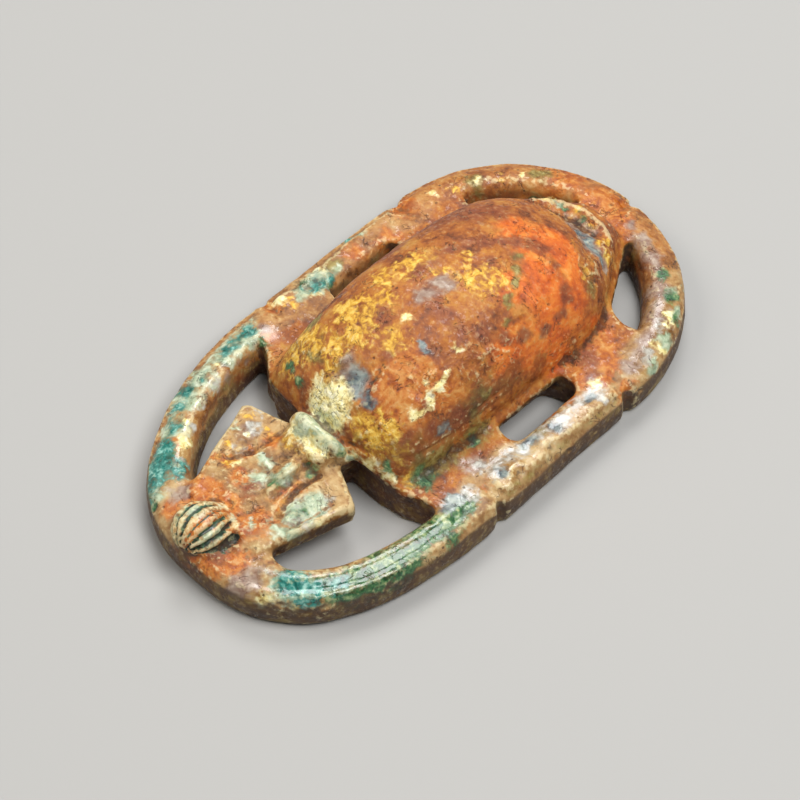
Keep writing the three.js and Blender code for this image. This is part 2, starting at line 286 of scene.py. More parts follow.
def spots(places, inner=0.55, outer=1.3):
    """1 inside the listed spots and 0 outside, with soft edges. A spot is x, y, z, radius."""
    bare_share = np.ones(point_count)
    for x, y, z, radius in places:
        away = np.linalg.norm(points - (x, y, z), axis=1)
        bare_share *= 1 - soft_step(away, radius * outer, radius * inner)
    return 1 - bare_share


broad_noise = ragged(4.5, 3, 1)
middle_noise = ragged(1.7, 3, 2)
fine_noise = ragged(0.8, 2, 3)
print("noise spans", round(float(broad_noise.min()), 2), "to", round(float(broad_noise.max()), 2))

# %% [markdown]
# ## Carved lines and ridges
#
# The carver cut a raised border round each cheek of the head, a small ridge between the brows
# and a strap round the neck. Each is a short row of strokes on the surface: points near the row
# move out or in along the way the skin faces. A heap of tiny separate solids would give hard
# joins that the stone doesn't have. Each line has its row of points, then its width and its
# height, which is below zero for a groove, all in millimetres.

# %% Carve the head, neck and collar
LINES = {
    "left cheek border": ([(-7.6, -15.6, 5.2), (-6.4, -19.0, 5.2), (-5.6, -21.0, 5.2)],
                          0.30, -0.16),
    "left cheek rim": ([(-8.3, -15.6, 5.2), (-7.2, -19.2, 5.2), (-6.0, -22.2, 5.2)], 0.35, 0.12),
    "left cheek foot": ([(-6.2, -22.0, 5.2), (-4.6, -20.8, 5.2), (-3.6, -18.6, 5.2)],
                        0.36, -0.26),
    "left brow": ([(-3.6, -18.6, 5.2), (-3.6, -15.4, 5.4)], 0.50, -0.22),
    "right cheek foot": ([(3.1, -16.0, 5.2), (2.6, -18.3, 5.2), (3.0, -20.6, 5.2),
                          (3.7, -21.8, 5.2)], 0.40, -0.32),
    "right cheek back": ([(3.8, -16.8, 5.2), (5.2, -17.0, 5.2), (6.3, -17.4, 5.2)], 0.28, -0.16),
    "right cheek side": ([(6.3, -17.4, 5.2), (6.1, -19.6, 5.2), (5.6, -21.6, 5.2)], 0.28, -0.20),
    "right cheek rim": ([(7.3, -16.9, 5.2), (6.9, -19.5, 5.2), (6.0, -22.6, 5.2)], 0.34, 0.18),
    "brow ridge": ([(1.1, -20.9, 5.3), (0.8, -19.1, 5.5), (1.0, -17.3, 5.8)], 0.42, 0.50),
    "brow groove": ([(2.0, -21.0, 5.2), (1.8, -19.2, 5.3), (2.0, -17.6, 5.4)], 0.36, -0.22),
    "neck strap": ([(-3.0, -12.6, 6.4), (-0.5, -13.5, 8.1), (1.0, -13.6, 8.0), (2.5, -13.4, 7.7),
                    (3.3, -12.9, 6.7)], 0.70, 0.16),
    "neck filling": ([(-3.0, -13.8, 6.0), (-0.4, -14.5, 7.2), (1.8, -14.5, 7.0),
                      (2.8, -14.2, 6.4)], 0.50, 0.34),
    "neck knob": ([(1.7, -15.3, 6.6), (2.1, -15.2, 6.4)], 0.55, 0.60),
    "dome foot": ([(3.2, -12.0, 6.9), (6.0, -11.2, 6.9), (8.2, -9.4, 6.9), (9.3, -6.4, 6.9),
                   (9.7, -2.0, 6.9), (9.7, 3.0, 6.9)], 0.26, -0.22),
    "dome foot line": ([(4.6, -11.1, 7.9), (7.2, -9.9, 7.8), (8.7, -7.4, 7.8), (9.3, -3.0, 7.8),
                        (9.4, 3.0, 7.8)], 0.24, -0.13),
    "tail ridge": ([(-4.9, 21.2, 8.4), (-3.5, 23.0, 7.6), (-1.1, 24.2, 7.4),
                    (1.8, 24.2, 7.4), (3.6, 23.6, 7.0)], 0.4, 0.35),
    "tail inner groove": ([(-3.2, 21.6, 8.2), (-0.8, 22.9, 7.6), (1.9, 22.9, 7.6)], 0.38, -0.3),
    "tail side gash": ([(5.6, 17.2, 10.8), (6.5, 17.4, 9.8), (7.0, 17.9, 9.0)], 0.45, -0.35),
    "hollow lip": ([(2.7, -8.2, 12.0), (3.2, -9.2, 11.2), (2.4, -10.2, 10.3)], 0.32, 0.25),
    "hollow scratch": ([(1.9, -6.4, 13.0), (2.3, -7.4, 12.5), (2.2, -8.2, 12.1)], 0.3, -0.25),
    "back wrinkle": ([(7.4, 1.3, 12.5), (7.4, 2.8, 12.5), (8.4, 4.8, 10.9)], 0.35, 0.2),
    "pit beside the ball": ([(2.4, -28.6, 5.0), (2.8, -27.8, 5.0)], 0.5, -0.5),
}

relief = np.zeros(point_count)
for line, width, rise in LINES.values():
    relief += rise * bell(line_distance(line), 0, width)
SEAM_DEPTHS = (0.06, 0.26)
seams = soft_step(-relief, *SEAM_DEPTHS)
print(len(LINES), "carved lines, from", round(float(relief.min()), 2), "to",
      round(float(relief.max()), 2), "mm")

# %% [markdown]
# The legs aren't plain bars. The front leg on the near side has a shallow trough between two
# crests, the one on the far side has a soft inner crest, and the middle legs are level almost to
# their outer edge. All of these follow the rim, so they are curves of the distance from it.

# %% Shape the legs' tops
MIDDLE_LEG_RISE = 0.34
FAR_SIDE_FALL = 0.14

x, y, z = points.T
level = soft_step(normals[:, 2], 0.2, 0.7)
near_front_leg = soft_step(x, 3, 8) * soft_step(y, -5.5, -8) * level
far_front_leg = soft_step(x, -5, -8) * soft_step(y, -5.5, -8) * level
near_rear_leg = soft_step(x, 2, 6) * soft_step(y, 13.5, 15.5) * level
middle_legs = soft_step(np.abs(y - 4), 8.6, 7.6) * soft_step(np.abs(x), 11, 12.5) * level
near_middle_leg = middle_legs * (x > 0)

relief += near_front_leg * (0.08 * bell(from_rim, 0.8, 0.4) - 0.20 * bell(from_rim, 1.6, 0.5)
                            + 0.06 * bell(from_rim, 2.9, 0.7))
relief += far_front_leg * (0.05 * bell(from_rim, 2.8, 0.8) - 0.06 * bell(from_rim, 1.7, 0.7))
levelled = np.clip(2.1 - from_rim, 0, 1.0) * soft_step(from_rim, 0.4, 1.1)
relief += MIDDLE_LEG_RISE * middle_legs * levelled
far_side = soft_step(x - 0.35 * y, 2.0, -4.0) * level
fall = np.clip(3.2 - from_rim, 0, 3.2) * soft_step(from_rim, 4.2, 3.4)
relief -= FAR_SIDE_FALL * far_side * fall
on_legs = soft_step(from_rim, 4.4, 3.6) * soft_step(z, 6.0, 5.2)
print("leg points:", int((on_legs > 0.5).sum()))

# %% [markdown]
# ## The ribbed ball
#
# The ball in front of the head has ribs that run the way the beetle faces. They are cut as
# grooves at uneven angles round the ball's long axis, because evenly spaced ones would look
# turned on a lathe. Each groove has its angle, its half width in degrees and its depth in
# millimetres. The grooves are kept as a mask too, since green glaze lies in them, and so is one
# band of rust, given by its angle and its half width.

# %% Cut the ball's grooves
BALL_MIDDLE = np.array([0.0, -28.1, 4.5])
BALL_GROOVES = {-110: (8, 0.40), -75: (6, 0.38), -48: (6, 0.36), -24: (6, 0.34), 2: (5, 0.24),
                25: (6, 0.38), 54: (8, 0.55), 82: (7, 0.42), 110: (8, 0.40), 146: (8, 0.40)}
BALL_RUST = (10, 15)

from_ball = points - BALL_MIDDLE
on_ball = soft_step(np.linalg.norm(from_ball, axis=1), 3.5, 3.2) * soft_step(z, 4.2, 4.8)
ball_turn = np.degrees(np.arctan2(from_ball[:, 0], from_ball[:, 2])) + 4 * middle_noise
grooves = np.zeros(point_count)
for angle, (half_width, depth) in BALL_GROOVES.items():
    grooves = np.maximum(grooves, depth * bell(ball_turn, angle, half_width))
grooves *= on_ball * soft_step(np.abs(from_ball[:, 1] + 0.3), 3.0, 2.2)
ball_swell = 0.10 + 0.05 * fine_noise + 0.30 * soft_step(from_ball[:, 1], 0.5, -2.5)
relief = relief * (1 - on_ball) + on_ball * ball_swell - grooves
ball_rust = on_ball * bell(ball_turn, *BALL_RUST)
print("groove points:", int((grooves > 0.2).sum()))

# %% [markdown]
# ## Hollows, crust and pits
#
# The stone isn't even. There are shallow hollows, a flower-shaped crust by the neck, a broken
# hollow at the tail and rough crust round the ball. Hollows are soft dents, each with a place, a
# width and a depth. Crust is noise that only shows in the rough places, which are spots with a
# radius.

# %% Press the hollows and raise the crust
HOLLOWS = [
    ((0.6, -9.0, 11.5), 1.7, 0.42), ((14.2, -8.3, 4.6), 1.3, 0.22), ((14.2, 1.2, 4.6), 1.2, 0.16),
    ((5.2, 8.8, 14.1), 1.6, 0.10), ((2.8, 11.0, 14.4), 1.6, 0.10), ((14.4, 9.9, 4.6), 0.9, 0.12),
    ((0.2, 22.0, 7.8), 2.2, 0.30), ((5.6, 21.0, 7.8), 1.3, 0.30), ((-0.4, -15.4, 6.6), 0.9, 0.25),
    ((1.6, -8.4, 12.2), 0.7, 0.20), ((9.2, 11.2, 4.5), 1.4, 0.15),
    ((-15.0, 14.5, 4.6), 1.2, 0.12),
]
ROUGH_PLACES = [
    (-0.2, -11.3, 8.9, 2.3), (5.4, -10.6, 8.7, 2.2), (-0.8, -15.4, 6.6, 1.8),
    (1.6, -15.4, 6.4, 1.4), (5.6, -21.8, 5.2, 1.0), (-1.6, -22.6, 5.2, 2.2),
    (2.2, -24.6, 5.2, 2.4), (-1.8, -26.0, 5.0, 2.0), (3.4, -27.6, 4.8, 2.4),
    (1.4, -30.6, 3.8, 1.8), (-0.4, 22.4, 7.8, 3.0), (2.8, 21.8, 8.0, 3.0), (6.0, 18.6, 9.4, 2.2),
    (-3.8, 22.0, 8.0, 1.8), (7.6, 1.0, 12.0, 2.6), (8.3, 4.0, 10.8, 2.2), (9.4, 10.9, 6.0, 2.2),
    (9.2, -3.0, 7.9, 1.6), (6.2, -4.2, 12.0, 2.2), (-6.6, -9.4, 9.2, 2.4),
    (-2.6, -7.2, 12.6, 2.2), (4.8, -19.6, 5.2, 1.8), (10.5, -27.9, 3.2, 2.0),
    (13.4, -25.2, 3.0, 1.8), (16.0, -19.6, 2.6, 1.8), (3.2, -14.6, 6.4, 1.2),
    (12.8, 6.0, 3.6, 1.6),
]

CRUST_FINE = 0.14
CRUST_COARSE = 0.09
UNEVENNESS = 0.09

for place, width, depth in HOLLOWS:
    relief -= depth * bell(np.linalg.norm(points - place, axis=1), 0, width)
rough = np.clip(spots(ROUGH_PLACES) * (0.8 + 0.5 * middle_noise), 0, 1)
ground = 1 - 0.6 * on_ball
relief += ground * rough * (CRUST_FINE * fine_noise + CRUST_COARSE * middle_noise)
relief += ground * UNEVENNESS * broad_noise
relief += ground * (1 - 0.8 * on_legs) * (0.04 * middle_noise + 0.02 * fine_noise)
print("rough share of the skin:", round(float(rough.mean()), 3))

# %% [markdown]
# Pits are small round bites. A cell pattern gives each point its distance from the nearest of
# many scattered seeds, and a bite is taken close to a seed. Only some seeds bite, so the pits
# stay scattered.

# %% Bite the pits
PIT_CELL = 2.1
PIT_DEPTH = 0.24

pit_bite = np.empty(point_count)
for index, point in enumerate(points):
    distances, seeds = noise.voronoi(Vector(point) / PIT_CELL)
    chosen = noise.cell(seeds[0] * 3.7) > 0.45
    pit_bite[index] = distances[0] if chosen else 1.0
pits = soft_step(pit_bite, 0.17, 0.03)
relief -= PIT_DEPTH * pits
print("points in pits:", int((pits > 0.3).sum()))

# %% [markdown]
# The sharpest edges have lost small chips. A point far out from the average of the skin round it
# is on an edge, and noise picks which stretches of edge have chipped. The head's edges have kept
# more of their shape, so they chip less.

# %% Chip the edges
CHIP_DEPTH = 0.18

stands_out = np.einsum("ij,ij->i", points - smoothed(points, 24, 1.0), normals)
chips = soft_step(stands_out, 0.10, 0.35) * soft_step(middle_noise, 0.05, 0.45)
head_share = soft_step(y, -12.5, -14.0) * soft_step(from_rim, 3.4, 4.6)
chips *= 1 - 0.8 * head_share
relief -= CHIP_DEPTH * chips
print("points in chips:", int((chips > 0.3).sum()))

# %% Move the skin
off_floor = soft_step(z, 0.0, 0.8)
points = points + normals * (relief * off_floor)[:, None]
points[:, 2] = np.maximum(points[:, 2], 0)
normals = facing(points)
print("the carving moved points by up to", round(float(np.abs(relief).max()), 2), "mm")

# %% [markdown]
# ## What the finish needs to know
#
# The hollows are darkened and the edges show wear. Both come from one measure: how far a point
# stands out from the average of the skin round it. The measure is taken over a small and a large
# neighbourhood, and stored on the points for the material to read.

# %% Measure hollows and edges
POLISHED_PLACES = [
    (8.5, -28.6, 4.2, 1.4), (10.2, -26.6, 4.4, 1.8), (12.0, -24.6, 4.4, 1.8),
    (13.6, -21.8, 4.4, 1.8), (14.3, -18.8, 4.5, 1.8), (14.4, -15.8, 4.6, 1.8),
    (14.4, -12.6, 4.6, 1.8), (14.3, -9.8, 4.6, 1.8), (14.6, -7.2, 4.6, 1.4),
    (14.4, -2.4, 4.6, 1.7), (13.9, -0.4, 4.6, 1.5), (14.2, 2.2, 4.6, 1.3), (13.9, 4.4, 4.6, 1.2),
    (14.6, 6.4, 4.6, 1.2), (14.2, 8.4, 4.6, 1.2), (14.4, 10.4, 4.6, 0.9), (-13.0, -7.6, 4.6, 1.2),
    (-12.9, -10.2, 4.6, 1.1), (-12.7, -12.8, 4.6, 1.1), (-12.2, -15.6, 4.6, 1.1),
    (-11.4, -18.2, 4.6, 1.1), (-10.2, -20.8, 4.6, 1.1), (-8.6, -23.4, 4.6, 1.1),
    (-10.4, -24.4, 4.4, 1.2), (15.2, 16.2, 4.5, 1.2), (14.6, 18.6, 4.5, 1.4),
    (13.4, 21.0, 4.5, 1.4), (12.0, 23.0, 4.5, 1.3), (0.4, -13.6, 8.2, 1.6),
    (0.6, -9.0, 11.4, 1.5), (11.8, -4.4, 4.6, 1.0), (0.4, -28.6, 7.2, 1.6),
    (7.2, -21.6, 5.0, 0.8), (7.4, -18.4, 5.0, 0.8),
]


def standing_out(rounds):
    """How far each point stands out from the skin round it, in mm. A hollow is negative."""
    return np.einsum("ij,ij->i", points - smoothed(points, rounds, 1.0), normals)


def store(name, values):
    """Keeps a value for every point, under a name that the material can read."""
    layer = skin.attributes.new(name, "FLOAT", "POINT")
    layer.data.foreach_set("value", np.asarray(values, dtype=np.float32))


close_relief = standing_out(4)
wide_relief = standing_out(40)
store("hollow", np.clip(soft_step(close_relief, -0.01, -0.06) * 0.6
                        + soft_step(wide_relief, -0.08, -0.55) * 0.8, 0, 1))
store("edge", np.clip(soft_step(close_relief, 0.012, 0.06) * 0.7
                      + soft_step(wide_relief, 0.25, 0.7) * 0.5, 0, 1))
store("rough", rough)
store("legs", on_legs)
store("seams", seams)
on_head = soft_step(points[:, 1], -12.2, -13.2) * soft_step(from_rim, 3.4, 4.6)
at_rear = soft_step(points[:, 1], 10, 18)
pale_legs = on_legs * (1 - 0.7 * at_rear * soft_step(x, 11, 6))
store("pale", np.maximum(pale_legs, on_head) * (0.85 - 0.35 * soft_step(x, -8, -12)))
store("grooves", soft_step(grooves, 0.07, 0.32))
polished_tops = np.maximum(near_middle_leg * bell(from_rim, 2.4, 1.2),
                           near_front_leg * 0.7 * bell(from_rim, 2.7, 0.7))
store("polish", np.maximum(spots(POLISHED_PLACES, 0.4, 1.5), polished_tops))
# Steep walls low down, mostly the ring's sides, are kept for painted shade.
store("painted_side_shade", soft_step(normals[:, 2], 0.55, 0.05) * soft_step(points[:, 2], 5.4, 4.2))
print("close relief spans", round(float(close_relief.min()), 3), "to",
      round(float(close_relief.max()), 3), "mm")

# %% [markdown]
# ## Where the patina and the painted light and shade lie
#
# The old glaze has worn into patches, each with its own colour, and a few patches are painted
# shade, sheen, reflection and glints instead. A patch is a handful of listed soft spots, and
# noise bends its outline so that no spot looks round. The material later gives each patch its
# colours and frays its edge. Some colours also lie in bands, along a leg or over the ball, and
# the rusty band on the ball has lost its pale crust.

# %% Place the patina and the painted light and shade
PATINA = {
    "ember": [
        (6.6, 12.4, 12.3, 3.5), (4.1, 13.5, 13.4, 2.5), (-0.2, 14.4, 13.7, 2.5),
        (8.4, 11.4, 10.1, 2.5), (9.1, 8.7, 8.8, 3.0), (8.2, 4.7, 11.2, 2.5),
        (7.8, 14.1, 10.3, 2.0), (9.0, 15.2, 5.4, 2.0), (9.5, 10.5, 5.3, 2.0),
        (4.5, 8.5, 14.4, 2.0), (2.4, 17.0, 12.4, 1.6), (5.2, 15.8, 12.0, 1.6),
    ],
    "rust": [
        (-3.9, -25.6, 5.0, 1.6), (-0.6, -24.8, 5.2, 1.5), (2.1, -26.3, 5.0, 1.8),
        (2.4, -30.3, 4.0, 1.8), (0.7, -30.9, 3.5, 1.6), (3.0, -24.0, 5.2, 1.4),
        (-2.6, -24.4, 5.2, 1.2), (4.4, -28.2, 4.6, 1.4), (11.7, 13.0, 4.5, 2.4),
        (11.4, 11.0, 4.5, 1.8), (9.9, 14.4, 4.6, 1.8), (-7.0, 28.0, 4.5, 2.4),
        (-2.3, 28.1, 4.6, 2.0), (1.8, 27.2, 4.5, 1.4), (-0.6, 28.4, 4.6, 1.8),
        (-16.1, 13.4, 4.1, 1.5), (-14.6, -13.3, 4.6, 1.0), (-10.4, -23.2, 4.6, 0.9),
        (4.6, -5.4, 13.0, 2.6), (6.2, -7.6, 11.2, 2.4), (3.4, -8.6, 11.8, 1.8),
        (7.4, -3.6, 11.6, 2.0), (-9.6, -25.6, 4.3, 0.7), (9.3, 13.2, 4.7, 1.4),
        (13.6, 11.8, 4.4, 1.0), (12.4, 5.6, 4.2, 0.9), (12.4, 8.4, 4.2, 0.9),
        (14.6, -4.9, 4.0, 0.9), (-15.4, -4.9, 4.0, 0.9), (-14.6, 5.6, 4.6, 1.2),
        (-13.4, 9.4, 4.6, 1.4), (16.0, 13.2, 3.6, 1.2), (-6.2, -22.0, 5.2, 0.8),
        (-4.6, -20.8, 5.2, 0.8), (-3.6, -18.6, 5.2, 0.8), (-3.4, -16.6, 5.3, 0.8),
        (-4.4, -28.4, 4.5, 1.2), (1.8, -19.6, 5.3, 0.7), (2.6, -18.2, 5.3, 0.7),
        (3.0, -21.4, 5.2, 1.0), (-2.0, -21.4, 5.2, 0.9),
    ],
    "olive": [
        (9.2, -1.2, 8.2, 1.4), (8.8, 0.6, 9.3, 1.0), (-0.9, -13.4, 8.0, 1.0),
        (13.8, 3.5, 4.6, 1.0), (1.0, -19.2, 5.2, 1.1), (9.8, -5.6, 4.7, 2.0),
        (9.8, -1.4, 4.8, 1.7), (9.6, -8.6, 4.8, 1.6), (7.6, -10.8, 5.8, 0.9),
        (8.8, -8.0, 6.0, 1.4), (-5.0, -8.9, 11.0, 1.6), (-8.4, -6.2, 9.6, 1.6),
        (2.4, 11.6, 14.4, 0.9), (3.5, 10.1, 14.5, 0.8), (4.6, 9.0, 14.3, 0.7),
        (5.4, 7.4, 14.1, 0.7), (6.6, 6.0, 13.3, 0.7), (-15.2, 3.2, 4.5, 1.1),
        (-12.6, 20.6, 4.6, 1.4), (-8.8, 26.2, 4.4, 1.2), (7.4, 17.2, 9.2, 1.0),
    ],
    "gold": [
        (-7.4, -9.9, 8.1, 2.2), (-6.0, -7.8, 11.1, 1.8), (-2.5, -5.7, 13.5, 1.8),
        (-2.6, -7.7, 12.4, 1.8), (-4.0, 3.2, 15.1, 1.8), (5.6, -10.5, 8.6, 2.4),
        (6.9, -10.2, 8.1, 1.8), (4.1, -10.5, 9.4, 1.5), (5.4, -10.9, 8.2, 1.4),
        (-7.9, -8.2, 9.3, 1.7), (-2.2, -9.4, 11.1, 1.5), (-1.0, 7.4, 15.3, 0.9),
        (-1.1, 4.3, 15.5, 1.2), (6.2, 17.2, 10.4, 1.0), (-3.0, -2.0, 14.7, 1.8),
        (-4.9, -4.2, 13.4, 1.9), (1.3, -4.0, 14.2, 1.5), (-1.8, -15.0, 6.4, 1.5),
        (0.4, -15.6, 6.5, 1.1), (-6.9, -16.0, 5.2, 0.7), (-5.8, -19.6, 5.2, 0.8),
        (-4.2, -21.0, 5.2, 0.7), (-4.4, -16.0, 5.3, 0.8), (8.2, -29.8, 2.4, 1.0),
        (12.2, -26.4, 2.4, 1.2), (-5.2, 0.4, 14.6, 1.4), (3.2, 7.2, 15.0, 1.6),
        (1.6, 6.0, 15.4, 1.6), (-11.4, 23.0, 4.6, 0.8), (-13.6, 18.8, 4.6, 0.8),
        (-14.8, -3.4, 4.5, 1.2), (-0.9, 23.5, 7.4, 0.8), (0.9, 23.3, 7.4, 0.8),
        (3.3, 22.7, 7.6, 0.8), (4.8, 22.0, 7.0, 0.7), (12.6, 15.6, 3.6, 0.8),
        (9.2, -10.2, 4.9, 0.9), (-4.4, 22.4, 8.2, 0.8), (-1.2, 24.3, 7.4, 0.8),
    ],
    # Plum glaze in a horseshoe on the back; spots on the dome's far side, x below -3 and z above
    # 7, are painted shade.
    "plum_and_shade": [
        (-2.4, 3.0, 15.5, 1.0), (-2.8, 5.1, 15.4, 1.0), (-2.8, 7.0, 15.2, 1.0),
        (-2.1, 8.7, 15.1, 1.0), (-1.1, 10.1, 14.9, 1.0), (-0.3, 11.7, 14.6, 1.0),
        (0.6, 13.0, 14.2, 1.0), (1.9, 14.0, 13.8, 1.0), (3.1, 14.5, 13.3, 1.0),
        (5.0, 14.4, 12.8, 1.0), (6.6, 13.8, 11.8, 1.0), (7.7, 13.0, 10.8, 1.0),
        (8.4, 11.7, 10.1, 0.9), (8.4, 9.4, 10.6, 1.0), (8.1, 6.7, 11.4, 1.1),
        (7.4, 4.6, 12.5, 1.1), (6.5, 2.7, 13.5, 1.1), (5.0, 1.2, 14.4, 1.1),
        (3.1, 1.0, 15.2, 1.1), (1.2, 1.4, 15.5, 1.2), (-0.4, -22.2, 5.2, 1.2),
        (-4.6, -26.6, 4.7, 0.9), (0.4, -25.8, 5.2, 0.9), (-6.4, 11.5, 12.9, 2.6),
        (-7.7, 9.3, 12.1, 2.4), (-4.8, 12.6, 13.6, 1.8), (-3.4, 14.4, 13.2, 1.8),
        (-8.4, 1.0, 10.6, 2.2), (-8.8, 5.4, 9.8, 2.4), (-8.4, 9.6, 9.4, 2.4),
        (-6.6, 13.4, 9.8, 2.2), (-4.0, 15.6, 10.6, 1.8), (-7.4, 4.0, 12.4, 1.6),
        (8.4, -6.2, 8.9, 1.4), (8.9, -3.4, 8.7, 1.3), (7.4, -8.4, 9.0, 1.0),
        (6.8, -5.6, 11.0, 0.9), (-1.2, -3.4, 14.6, 1.2), (1.6, -5.6, 13.8, 1.0),
        (10.8, 12.8, 4.5, 1.2), (12.6, 12.0, 4.4, 1.0), (-9.4, -3.8, 7.6, 1.2),
        (-9.6, 1.8, 7.2, 1.4),
    ],
    "lilac": [
        (0.5, -9.1, 11.5, 2.2), (-0.7, -8.7, 11.9, 1.5), (6.6, -28.9, 4.3, 1.6),
        (6.4, -30.1, 3.6, 1.1), (14.2, 15.6, 4.6, 1.6), (4.2, 27.2, 4.6, 1.3),
        (6.4, 26.3, 4.6, 1.5), (9.6, 24.0, 4.6, 1.5), (11.9, 21.8, 4.6, 1.5),
        (13.6, 19.0, 4.6, 1.5), (2.0, 28.2, 4.6, 1.0), (-5.0, -26.9, 4.6, 1.2),
        (1.2, 21.9, 7.9, 1.6), (-0.7, 22.1, 7.8, 1.4), (3.6, 21.4, 8.2, 1.3),
        (5.3, 21.0, 7.7, 1.0), (-2.2, 20.4, 9.6, 1.1), (-0.4, 20.8, 9.2, 1.2),
        (1.6, 20.9, 9.0, 1.2), (3.6, 20.6, 8.8, 1.1), (0.5, 3.7, 15.6, 1.3),
        (-0.3, 0.9, 15.5, 1.3), (-0.4, -20.6, 5.2, 1.2), (12.2, -4.0, 4.5, 1.3),
        (-5.6, -17.6, 5.2, 1.2), (4.6, -21.0, 5.2, 1.0), (-14.9, -16.6, 4.4, 1.3),
        (-11.6, -13.6, 4.2, 1.0), (-12.2, -11.0, 4.2, 1.0), (0.2, -15.6, 6.6, 0.8),
        (-14.3, -7.4, 4.6, 0.9),
    ],
    # Painted sheen: pale silvery grey on the level leg tops and a few head spots, where light
    # catches.
    "silver_sheen": [
        (14.0, -1.6, 4.6, 1.3), (14.2, 0.6, 4.6, 1.3), (14.0, 3.4, 4.6, 1.4),
        (14.5, 5.8, 4.6, 1.4), (14.2, 8.6, 4.6, 1.3), (12.8, -3.6, 4.6, 1.0),
        (14.9, -7.6, 4.6, 1.2), (14.0, -6.6, 4.6, 1.0), (12.9, -15.4, 4.6, 0.6),
        (10.6, -21.4, 4.6, 0.7), (4.8, -19.4, 5.2, 1.6), (6.0, -21.0, 5.2, 1.0),
        (5.6, -18.0, 5.2, 1.2), (-5.4, -16.8, 5.2, 0.9), (-4.6, -19.4, 5.2, 0.8),
        (-6.4, -15.2, 5.2, 0.8), (-13.0, -12.6, 4.6, 0.9), (-12.5, -15.4, 4.6, 0.9),
        (-11.6, -18.0, 4.6, 0.9), (-13.2, -9.4, 4.6, 0.9), (-10.3, -20.8, 4.6, 0.8),
        (14.9, 10.7, 4.6, 1.0), (0.2, -13.7, 8.1, 1.6), (2.4, -13.4, 7.6, 1.1),
        (13.2, 21.0, 4.6, 0.9), (14.6, 17.6, 4.6, 0.9), (-7.6, -24.2, 4.6, 0.8),
        (1.9, -15.2, 6.8, 0.9),
    ],
    # Painted reflection: dark blue-grey where the smooth glaze would mirror a dark surround.
    "dark_reflection": [
        (-1.2, 21.2, 8.6, 0.9), (0.8, 21.6, 8.2, 1.0), (2.8, 21.4, 8.2, 1.0),
        (4.6, 20.9, 8.0, 0.8), (14.1, -8.2, 4.5, 1.2), (14.3, -9.4, 4.6, 1.0),
        (14.1, 1.9, 4.6, 0.9), (14.7, -2.8, 4.6, 0.9), (14.6, 9.6, 4.6, 0.8),
        (9.0, -4.9, 8.0, 0.7), (3.0, -9.4, 11.2, 0.8), (0.2, -8.6, 11.9, 1.2),
        (1.2, -9.6, 11.0, 1.0), (3.9, -2.6, 14.0, 0.6), (14.3, 5.0, 4.7, 0.7),
        (5.6, -18.8, 5.2, 0.8), (12.6, -17.8, 4.6, 0.7), (13.4, -14.6, 4.6, 0.7),
        (12.0, -23.2, 4.5, 0.8),
    ],
    # Cream crust; the small cream spots on the dome, those higher than 10 mm, are painted glints.
    "cream_and_glints": [
        (-0.4, -11.3, 8.9, 2.6), (-0.4, -11.3, 9.0, 2.0), (-0.2, -11.2, 9.0, 1.6),
        (7.9, -11.1, 5.5, 0.9), (5.7, -11.9, 5.9, 0.9), (3.8, -12.5, 5.9, 0.8),
        (-2.0, -14.3, 6.8, 1.3), (0.8, -15.0, 6.9, 1.1), (-0.6, -14.9, 7.0, 1.2),
        (0.4, -13.6, 8.1, 1.3), (1.8, -13.5, 7.9, 0.9), (-5.6, -17.8, 5.2, 0.5),
        (-3.6, -20.6, 5.2, 0.5), (6.2, -4.7, 12.3, 0.6), (6.8, -5.0, 11.7, 0.6),
        (6.9, -3.1, 12.2, 0.7), (6.5, -2.6, 12.8, 0.5), (7.3, -5.2, 11.1, 0.7),
        (7.0, -6.9, 10.6, 0.8), (5.8, -0.1, 13.8, 0.6), (0.6, -1.7, 15.0, 0.6),
        (7.0, -4.0, 11.9, 0.5), (-10.1, 25.0, 4.6, 0.4), (-12.5, 21.2, 4.6, 0.4),
        (-6.4, 25.6, 3.1, 0.6), (-15.9, -4.1, 4.4, 1.0), (13.6, 11.4, 4.5, 0.8),
        (-9.4, -22.1, 4.5, 0.8), (-11.2, -20.6, 4.6, 0.8), (1.8, -15.2, 6.8, 1.0),
        (-0.4, -14.6, 7.4, 1.0), (9.0, -28.8, 3.2, 0.9), (11.4, -27.0, 3.2, 0.9),
        (-14.2, -0.2, 4.6, 1.0), (-15.5, 1.6, 4.4, 0.8), (12.9, 22.7, 4.2, 0.9),
        (14.8, 19.6, 4.2, 0.9), (-13.9, -13.9, 4.5, 0.6), (-9.9, -25.2, 4.2, 0.8),
        (6.9, -22.2, 4.8, 0.7), (7.4, -19.6, 4.9, 0.6), (-14.6, 16.6, 4.6, 0.6),
    ],
    "mint": [
        (-14.2, -16.0, 4.3, 1.8), (-13.2, -19.0, 4.3, 1.8), (-11.4, -22.2, 4.4, 1.6),
        (-9.2, -25.0, 4.3, 1.4), (-14.6, -9.6, 4.5, 1.6), (-13.6, -12.4, 4.4, 1.2),
        (9.8, -26.8, 4.4, 1.9), (11.4, -25.8, 4.4, 1.4), (0.2, -13.6, 8.1, 1.8),
        (2.6, -13.2, 7.6, 1.3), (-1.6, -13.2, 7.4, 1.3), (4.4, -20.6, 5.2, 1.4),
        (5.8, -19.4, 5.2, 1.2), (4.8, -18.2, 5.2, 1.1), (0.8, -19.0, 5.7, 0.9),
        (1.0, -17.6, 5.9, 0.8), (-0.8, -20.2, 5.2, 1.2), (-7.4, -18.0, 5.2, 0.7),
        (-1.8, -18.4, 5.2, 0.9), (3.9, -12.3, 5.8, 0.7), (6.8, -22.4, 4.8, 0.8),
        (4.4, -23.4, 4.9, 0.9), (5.8, -22.6, 4.9, 0.9), (2.6, -24.6, 4.9, 0.7),
        (12.9, 23.6, 4.0, 1.0), (14.6, 20.6, 4.1, 1.0), (15.9, 17.2, 4.0, 0.9),
